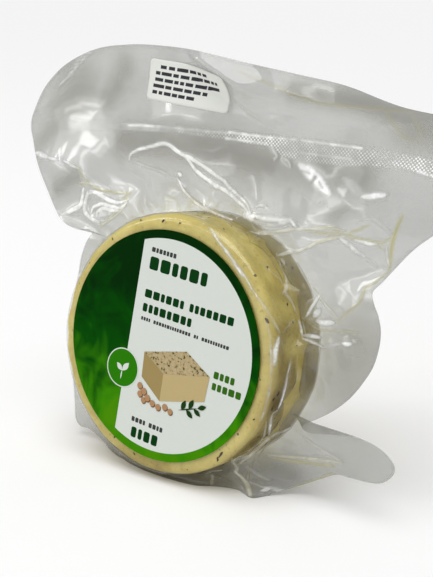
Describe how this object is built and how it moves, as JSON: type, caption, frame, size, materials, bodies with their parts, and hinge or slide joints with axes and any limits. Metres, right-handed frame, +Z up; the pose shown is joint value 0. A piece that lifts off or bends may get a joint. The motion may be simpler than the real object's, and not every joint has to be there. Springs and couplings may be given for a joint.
{
  "type": "vegan herb cheese",
  "caption": "Small round fresh cheese wheel with green herb flecks, vacuum packed in a clear pouch with crumpled flaps, with a round face label and a small lot sticker.",
  "frame": {"origin": "on the surface it stands on, below the middle of the whole pack", "axes": "+Z up; -Y is the side that the label faces; +X is across the label to the right"},
  "size_m": [0.2024, 0.0466, 0.1552],
  "materials": {
    "clear_film": "clear glossy vacuum film, slightly smoky where two sheets lie together",
    "cheese": "soft cream-yellow fresh cheese, moist under the film",
    "herbs": "dark green-brown dried herb flecks",
    "label_print": "printed satin label, green with a white field",
    "sticker_paper": "plain white thermal paper with dark marks"
  },
  "bodies": {
    "root": {"vacuum_bag": "clear_film", "face_label": "label_print", "lot_sticker": "sticker_paper"}
  },
  "joints": []
}
